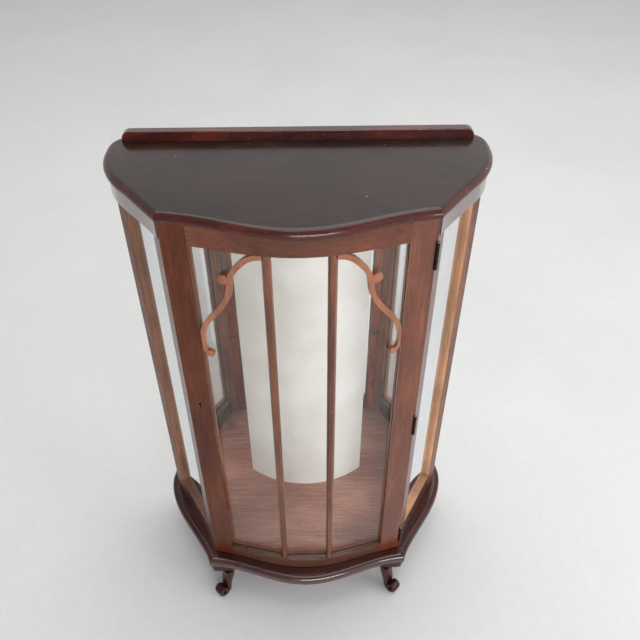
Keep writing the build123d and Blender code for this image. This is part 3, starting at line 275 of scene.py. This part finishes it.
# ------------------------------------------------------------------ glass, mirror, metals
def glass(name, tint, haze=0.035, low=0.045, gain=0.80, fall=4.6):
    t = Tree(name)
    lw = t.node("ShaderNodeLayerWeight", {"Blend": 0.5})
    fac = t.math("POWER", lw.outputs["Facing"], fall)
    fac = t.math("ADD", t.math("MULTIPLY", fac, gain), low, clamp=True)
    clear = t.node("ShaderNodeBsdfTransparent")
    clear.inputs["Color"].default_value = (*tint, 1.0)
    v = t.coords(0.2, (1, 1, 0.6))
    smear = t.noise(v, 7.0, 3.0, 0.55, 0.3)
    r = t.span(smear, 0.35, 0.7, 0.006, 0.03)
    shine = t.node("ShaderNodeBsdfAnisotropic", {"Roughness": r})
    shine.inputs["Color"].default_value = (0.97, 0.985, 1.0, 1.0)
    a = t.node("ShaderNodeMixShader", {0: fac, 1: clear.outputs[0], 2: shine.outputs[0]})
    dust = t.node("ShaderNodeBsdfDiffuse")
    dust.inputs["Color"].default_value = (0.85, 0.85, 0.83, 1.0)
    dmask = t.span(t.noise(v, 22.0, 6.0, 0.7, 0.3), 0.45, 0.75, 0.0, haze)
    b = t.node("ShaderNodeMixShader", {0: dmask, 1: a.outputs[0], 2: dust.outputs[0]})
    return t.done(b.outputs[0])


m_glass_door = glass("glass_door", (0.995, 0.997, 0.995), haze=0.02, low=0.028, gain=0.75)
m_glass_side = glass("glass_side", (0.996, 0.998, 0.996), haze=0.03, low=0.035, gain=1.35, fall=2.4)


def mirror():
    t = Tree("silvered_mirror")
    v = t.coords()
    spots = t.span(t.noise(v, 55.0, 6.0, 0.7), 0.66, 0.74, 0.0, 1.0)
    haze = t.span(t.noise(v, 6.0, 4.0, 0.6, 0.5), 0.3, 0.7, 0.015, 0.05)
    colour = t.mix(spots, (0.90, 0.91, 0.90), (0.50, 0.49, 0.46))
    r = t.math("ADD", haze, t.math("MULTIPLY", spots, 0.2))
    p = t.node("ShaderNodeBsdfPrincipled", {"Base Color": colour, "Roughness": r})
    p.inputs["Metallic"].default_value = 1.0
    return t.done(p.outputs[0])


def metal(name, base, tarnish, rough, scale=160.0, amount=0.6):
    t = Tree(name)
    v = t.coords()
    n = t.noise(v, scale, 5.0, 0.65, 0.4)
    colour = t.mix(t.span(n, 0.38, 0.66, 0.0, amount), base, tarnish)
    r = t.span(n, 0.3, 0.7, rough - 0.08, rough + 0.16)
    bev = t.node("ShaderNodeBevel", {"Radius": 0.0004}, samples=4).outputs[0]
    b = t.node("ShaderNodeBump", {"Strength": 0.25, "Distance": 0.0002, "Height": n, "Normal": bev}).outputs[0]
    p = t.node("ShaderNodeBsdfPrincipled", {"Base Color": colour, "Roughness": r, "Normal": b})
    p.inputs["Metallic"].default_value = 1.0
    return t.done(p.outputs[0])


m_mirror = mirror()
m_brass_dark = metal("brass_blackened", (0.045, 0.030, 0.018), (0.012, 0.009, 0.007), 0.52, amount=0.95)
m_brass_key = metal("brass_keyhole", (0.20, 0.13, 0.06), (0.035, 0.022, 0.014), 0.42, amount=0.9)
m_brass = metal("brass_worn", (0.55, 0.37, 0.15), (0.14, 0.085, 0.04), 0.34)
m_steel = metal("steel_dull", (0.30, 0.29, 0.28), (0.10, 0.085, 0.075), 0.45)
m_peg = metal("peg_plated", (0.15, 0.15, 0.145), (0.075, 0.072, 0.068), 0.45)


def lining():
    """Cream lining with a fine woven and embossed surface."""
    t = Tree("cream_embossed")
    v = t.coords()
    sep = t.node("ShaderNodeSeparateXYZ", {"Vector": v})
    x, z = sep.outputs["X"], sep.outputs["Z"]
    # fine weave, threads about 0.9 mm apart
    wx = t.math("SINE", t.math("MULTIPLY", x, 2 * math.pi / 0.0018))
    wz = t.math("SINE", t.math("MULTIPLY", z, 2 * math.pi / 0.0018))
    weave = t.math("MULTIPLY", wx, wz)
    # random blotches plus painted light: the cream is made lighter towards the right side (+x), where more light falls
    blotch_and_light_ramp = t.math("ADD", t.noise(v, 7.0, 3.0, 0.55, 0.4), t.span(x, -0.13, 0.13, -0.10, 0.12))
    fib = t.noise(t.coords(0.0, (1, 1, 0.25)), 480.0, 3.0, 0.6)
    colour = t.ramp(blotch_and_light_ramp, [(0.26, (0.68, 0.635, 0.550)), (0.52, (0.765, 0.733, 0.670)), (0.80, (0.85, 0.832, 0.795))])
    tone = t.math("ADD", t.span(weave, -1.0, 1.0, 0.95, 1.03), t.span(fib, 0.3, 0.7, -0.03, 0.03))
    colour = t.mix(1.0, colour, t.node("ShaderNodeCombineColor", {0: tone, 1: tone, 2: tone}).outputs[0], "MULTIPLY")
    # small age spots
    foxing = t.span(t.noise(v, 38.0, 3.0, 0.6), 0.70, 0.76, 0.0, 0.35)
    colour = t.mix(foxing, colour, (0.52, 0.43, 0.30))
    h = t.math("ADD", t.math("MULTIPLY", weave, 0.5), t.math("MULTIPLY", fib, 0.8))
    b = t.node("ShaderNodeBump", {"Strength": 0.35, "Distance": 0.0003, "Height": h}).outputs[0]
    r = t.span(fib, 0.3, 0.7, 0.55, 0.75)
    p = t.node("ShaderNodeBsdfPrincipled", {"Base Color": colour, "Roughness": r, "Normal": b})
    p.inputs["Sheen Weight"].default_value = 0.15
    p.inputs["Specular IOR Level"].default_value = 0.35
    return t.done(p.outputs[0])


m_lining = lining()

# ------------------------------------------------------------------ finishes on the CAD nodes
FINISH = {
    "door_stile_left": m_door_left_shaded, "door_stile_right": m_door_v2, "door_top_rail": m_door_h, "door_bottom_rail": m_door_hb,
    "glazing_bar_left": m_bar, "glazing_bar_right": m_bar, "scroll_bracket_left": m_scroll, "scroll_bracket_right": m_scroll,
    "door_beads": m_inner_v, "top_board": m_top, "gallery_rail": m_gallery,
    "base_front_moulding": m_base_f, "base_side_moulding_right": m_base_r, "base_side_moulding_left": m_base_l,
    "base_back_rail": m_base_f, "foot_block_left": m_foot, "foot_block_right": m_foot,
    "front_foot_left": m_foot, "front_foot_right": m_foot, "rear_foot_left": m_foot, "rear_foot_right": m_foot,
    "front_post_left": m_post, "front_post_right": m_post, "back_post_left": m_back_post, "back_post_right": m_back_post,
    "side_frieze_left": m_side_l, "side_frieze_right": m_side_r, "side_bottom_rail_left": m_rail_l,
    "side_bottom_rail_right": m_rail_r, "side_top_rail_left": m_side_l, "side_top_rail_right": m_side_r,
    "side_glazing_slips_left": m_slip_left_shaded, "side_glazing_slips_right": m_slip, "side_inner_beads": m_inner_v,
    "door_stops": m_inner_v, "front_top_rail": m_inner_h, "cabinet_floor": m_floor,
    "back_board": m_ply, "centre_panel_board": m_ply, "back_battens": m_soft, "back_top_rail": m_inner_h,
    "centre_panel_formers": m_soft, "centre_panel_lining": m_lining,
    "back_mirror_left": m_mirror, "back_mirror_right": m_mirror,
    "door_glass_left": m_glass_door, "door_glass_centre": m_glass_door, "door_glass_right": m_glass_door,
    "side_glass_left": m_glass_side, "side_glass_right": m_glass_side,
    "hinge_door_leaves": m_brass_dark, "hinge_frame_leaves": m_brass_dark, "hinge_pins": m_steel,
    "hinge_door_screws": m_brass, "hinge_frame_screws": m_brass, "keyhole_lining": m_brass_key, "strike_plate": m_brass,
    "lock_case": m_steel, "lock_bolt": m_brass, "shelf_pegs": m_peg,
}
for name, obj in NODES.items():
    m = FINISH[name]
    if not obj.material_slots:
        obj.data.materials.append(m)
    for s in obj.material_slots:
        s.material = m


# ------------------------------------------------------------------ pieces made here
def new_piece(name, verts, faces, mat, body, smooth=True, replaces=()):
    me = bpy.data.meshes.new(name)
    me.from_pydata([tuple(v) for v in verts], [], faces)
    me.validate()
    bm = bmesh.new()
    bm.from_mesh(me)
    bmesh.ops.remove_doubles(bm, verts=bm.verts, dist=1e-7)
    bmesh.ops.recalc_face_normals(bm, faces=bm.faces)
    bm.to_mesh(me)
    bm.free()
    for p in me.polygons:
        p.use_smooth = smooth
    ob = bpy.data.objects.new(name, me)
    scene.collection.objects.link(ob)
    me.materials.append(mat)
    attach(ob, body)
    if replaces:
        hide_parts(*replaces)
    return ob


def catmull(points, n):
    """n samples on a smooth curve through the points."""
    out = []
    m = len(points) - 1
    for i in range(n):
        f = i / (n - 1) * m
        k = min(int(f), m - 1)
        u = f - k
        p0, p1, p2, p3 = (points[max(k - 1, 0)], points[k], points[k + 1], points[min(k + 2, m)])
        out.append(tuple(0.5 * (2 * b + (c - a) * u + (2 * a - 5 * b + 4 * c - d) * u * u + (3 * b - a - 3 * c + d) * u ** 3)
                         for a, b, c, d in zip(p0, p1, p2, p3)))
    return out


def rounded_ring(n, hw, ht, power):
    """Cross-section of a rounded bar, half width hw and half thickness ht."""
    ring = []
    for i in range(n):
        a = 2 * math.pi * i / n
        c, s = math.cos(a), math.sin(a)
        ring.append((hw * math.copysign(abs(c) ** (2 / power), c), ht * math.copysign(abs(s) ** (2 / power), s)))
    return ring


# scroll feet: a tapering leg that rolls up into a volute, with softened edges
R0, HW0 = 14.4, 5.9
FOOT_ZC = R0 + HW0
foot_line = [(-26.0, 88.0, 12.6), (-24.9, 72.0, 11.6), (-21.0, 55.0, 9.7), (-17.4, 42.0, 8.0), (-15.2, 30.0, 6.5)]
for i in range(27):
    phi = 2 * math.pi * 1.18 * i / 26
    f = i / 26
    rr, hw = R0 * (1 - f) + 3.3 * f, HW0 * (1 - f) + 2.7 * f
    foot_line.append((rr * math.cos(math.pi + phi), FOOT_ZC + rr * math.sin(math.pi + phi), hw))
foot_line = catmull(foot_line, 130)
TOE = Vector((1, -1, 0)).normalized()
ACROSS = Vector((1, 1, 0)).normalized()
FOOT_C = Vector((0.207, -0.285 + Y_SHIFT, 0.0))


def foot_mesh(sign):
    rings, ring_n = [], 28
    low = min(z - hw for p, z, hw in foot_line)
    for i, (p, z, hw) in enumerate(foot_line):
        a, b = foot_line[max(i - 1, 0)], foot_line[min(i + 1, len(foot_line) - 1)]
        tx, tz = b[0] - a[0], b[1] - a[1]
        tl = math.hypot(tx, tz)
        tx, tz = tx / tl, tz / tl
        f = i / (len(foot_line) - 1)
        ht = 13.2 if f < 0.5 else 13.2 - 1.8 * (f - 0.5)
        if f > 0.93:
            ht += 1.3 * (f - 0.93) / 0.07          # the eye stands a little proud
        ring = []
        for u, w in rounded_ring(ring_n, hw, ht, 3.6):
            q = FOOT_C + TOE * ((p + tz * u) / 1000) + ACROSS * (w / 1000)
            zz = max((z - tx * u - low) / 1000 - 0.0003, 0.0)
            ring.append(Vector((sign * q.x, q.y, min(zz, 0.0785))))
        rings.append(ring)
    verts = [v for r in rings for v in r]
    faces = []
    for i in range(len(rings) - 1):
        for j in range(ring_n):
            k = (j + 1) % ring_n
            faces.append((i * ring_n + j, i * ring_n + k, (i + 1) * ring_n + k, (i + 1) * ring_n + j))
    faces.append(tuple(range(ring_n)))
    faces.append(tuple((len(rings) - 1) * ring_n + j for j in reversed(range(ring_n))))
    return verts, faces


for sign, side in ((1, "right"), (-1, "left")):
    v, f = foot_mesh(sign)
    new_piece("scroll_foot_" + side, v, f, m_foot, "cabinet", replaces=["front_foot_" + side])

# lining of the curved panel: closed thin shell with real embossing on its face
lo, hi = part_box("centre_panel_lining")
half = (hi.x - lo.x) / 2
y_back, y_front = hi.y, lo.y
sag = y_back - y_front
radius = (half * half + sag * sag) / (2 * sag)
cy = y_front + radius
half_angle = math.asin(half / radius)
NU, NV = 170, 500
RELIEF = 0.00038


def emboss(s, z):
    """Height of the relief, 0 to 1, at arc length s and height z in metres: rows of small leaves between fine ribs."""
    u, v = s / 0.0085, z / 0.0105
    shift = 0.5 * (int(math.floor(v)) % 2)
    a, b = (u + shift) % 1.0 - 0.5, v % 1.0 - 0.5
    lean = 0.9 if int(math.floor(v)) % 2 else -0.9
    a2, b2 = a + lean * b * 0.5, b
    d = (a2 / 0.26) ** 2 + (b2 / 0.44) ** 2
    leaf = max(0.0, 1.0 - d) ** 0.5
    vein = 1.0 - 0.45 * math.exp(-((a2) / 0.05) ** 2)
    rib = 0.22 * (0.5 + 0.5 * math.cos(2 * math.pi * u * 2))
    return min(1.0, leaf * vein * 0.8 + rib)


verts, faces = [], []
for j in range(NV + 1):
    z = lo.z + (hi.z - lo.z) * j / NV
    for i in range(NU + 1):
        a = -half_angle + 2 * half_angle * i / NU
        edge = min(i, NU - i) / NU
        r = radius - RELIEF + RELIEF * emboss(a * radius, z) * (1.0 if edge > 0.004 else 0.0)
        verts.append(Vector((r * math.sin(a), min(cy - r * math.cos(a), y_back), z)))
front_n = len(verts)
for j in range(NV + 1):
    z = lo.z + (hi.z - lo.z) * j / NV
    for i in range(NU + 1):
        a = -half_angle + 2 * half_angle * i / NU
        r = radius - 0.00085
        verts.append(Vector((r * math.sin(a), min(cy - r * math.cos(a), y_back), z)))
W = NU + 1
for j in range(NV):
    for i in range(NU):
        q = (j * W + i, j * W + i + 1, (j + 1) * W + i + 1, (j + 1) * W + i)
        faces.append(q)
        faces.append(tuple(front_n + k for k in reversed(q)))
for j in range(NV):
    for i in (0, NU):
        q = (j * W + i, (j + 1) * W + i, front_n + (j + 1) * W + i, front_n + j * W + i)
        faces.append(q)
for i in range(NU):
    for j in (0, NV):
        q = (j * W + i, j * W + i + 1, front_n + j * W + i + 1, front_n + j * W + i)
        faces.append(q)
new_piece("panel_lining_embossed", verts, faces, m_lining, "cabinet", replaces=["centre_panel_lining"])


# ------------------------------------------------------------------ floor and light
def floor_mat():
    t = Tree("pale_floor")
    v = t.coords()
    n1 = t.noise(v, 1.6, 5.0, 0.6, 0.4)
    n2 = t.noise(v, 42.0, 5.0, 0.65)
    colour = t.ramp(n1, [(0.30, (0.590, 0.592, 0.585)), (0.70, (0.632, 0.634, 0.627))])
    k = t.span(n2, 0.3, 0.7, 0.975, 1.02)
    colour = t.mix(1.0, colour, t.node("ShaderNodeCombineColor", {0: k, 1: k, 2: k}).outputs[0], "MULTIPLY")
    r = t.span(n1, 0.3, 0.7, 0.55, 0.75)
    p = t.node("ShaderNodeBsdfPrincipled", {"Base Color": colour, "Roughness": r})
    p.inputs["Specular IOR Level"].default_value = 0.25
    return t.done(p.outputs[0])


bm = bmesh.new()
bmesh.ops.create_grid(bm, x_segments=24, y_segments=24, size=14.0)
me = bpy.data.meshes.new("studio_floor")
bm.to_mesh(me)
bm.free()
floor = bpy.data.objects.new("studio_floor", me)
scene.collection.objects.link(floor)
me.materials.append(floor_mat())

world = bpy.data.worlds.new("studio_world")
scene.world = world
world.use_nodes = True
wt = world.node_tree
wt.nodes.clear()
w_out = wt.nodes.new("ShaderNodeOutputWorld")
w_bg = wt.nodes.new("ShaderNodeBackground")
w_bg.inputs["Color"].default_value = (0.985, 0.99, 1.0, 1.0)
w_tc = wt.nodes.new("ShaderNodeTexCoord")
w_sep = wt.nodes.new("ShaderNodeSeparateXYZ")
w_x = wt.nodes.new("ShaderNodeMath")
w_x.operation = "MULTIPLY_ADD"
w_x.inputs[1].default_value, w_x.inputs[2].default_value = 0.19, 0.62
w_y = wt.nodes.new("ShaderNodeMath")
w_y.operation = "MULTIPLY_ADD"
w_y.inputs[1].default_value = 0.24
wt.links.new(w_tc.outputs["Generated"], w_sep.inputs[0])
wt.links.new(w_sep.outputs["X"], w_x.inputs[0])
wt.links.new(w_sep.outputs["Y"], w_y.inputs[0])
wt.links.new(w_x.outputs[0], w_y.inputs[2])
wt.links.new(w_y.outputs[0], w_bg.inputs["Strength"])
wt.links.new(w_bg.outputs[0], w_out.inputs["Surface"])


def area(name, place, aim, size, watts, colour=(1, 1, 1)):
    d = bpy.data.lights.new(name, "AREA")
    d.shape = "RECTANGLE"
    d.size, d.size_y = size
    d.energy = watts
    d.color = colour
    o = bpy.data.objects.new(name, d)
    scene.collection.objects.link(o)
    o.location = place
    o.rotation_mode = "QUATERNION"
    o.rotation_quaternion = (Vector(aim) - Vector(place)).to_track_quat("-Z", "Y")
    return o


area("window_right", (4.2, -1.6, 2.4), (0.2, 0.0, 0.4), (3.0, 2.4), 92, (0.98, 0.99, 1.0))
area("window_front", (1.0, -5.2, 1.45), (0.1, 0.0, 0.6), (3.4, 1.1), 185, (0.93, 0.96, 1.0))
area("soft_top", (0.4, 1.3, 4.4), (0.2, 1.2, 0.0), (4.0, 4.0), 116, (1.0, 0.99, 0.97))
